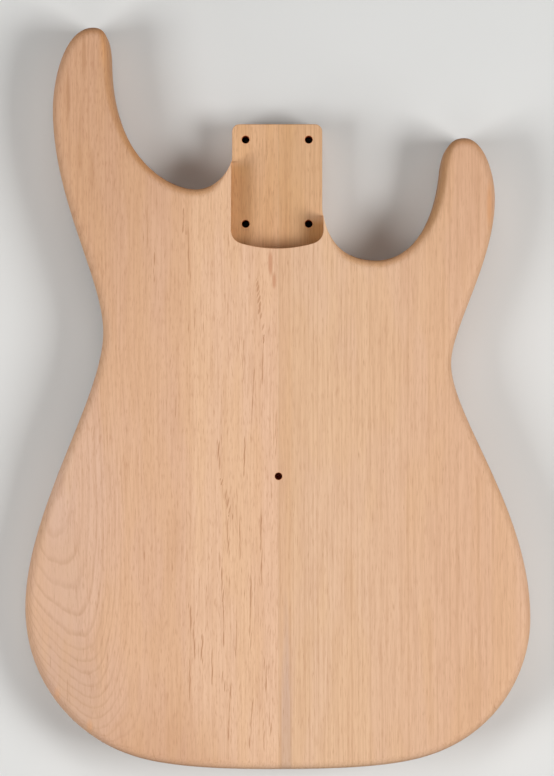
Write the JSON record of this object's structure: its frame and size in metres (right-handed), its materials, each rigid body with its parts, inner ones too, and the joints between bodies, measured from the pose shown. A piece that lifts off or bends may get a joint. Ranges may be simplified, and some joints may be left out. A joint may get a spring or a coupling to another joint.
{
  "type": "electric guitar body",
  "caption": "Bare solid wood body for a bolt-on-neck electric guitar, edge-glued from boards, with rounded rims, contours and a neck pocket.",
  "frame": {"origin": "middle of the width and of the length, at the back face, which the body rests on", "axes": "+X to the treble side, +Y along the body to the neck end, +Z out of the front face"},
  "size_m": [0.3042, 0.4454, 0.0444],
  "materials": {
    "bass_board_alder": "bare sanded flat-sawn alder, unfinished, fine brown pore flecks and open ring figure on the forearm contour",
    "treble_board_alder": "bare sanded quarter-sawn alder, unfinished, straight even grain lines",
    "cured_wood_glue": "thin cured glue line, sanded flush"
  },
  "bodies": {
    "root": {"bass_side_board": "bass_board_alder", "treble_side_board": "treble_board_alder", "centre_glue_line": "cured_wood_glue"}
  },
  "joints": []
}
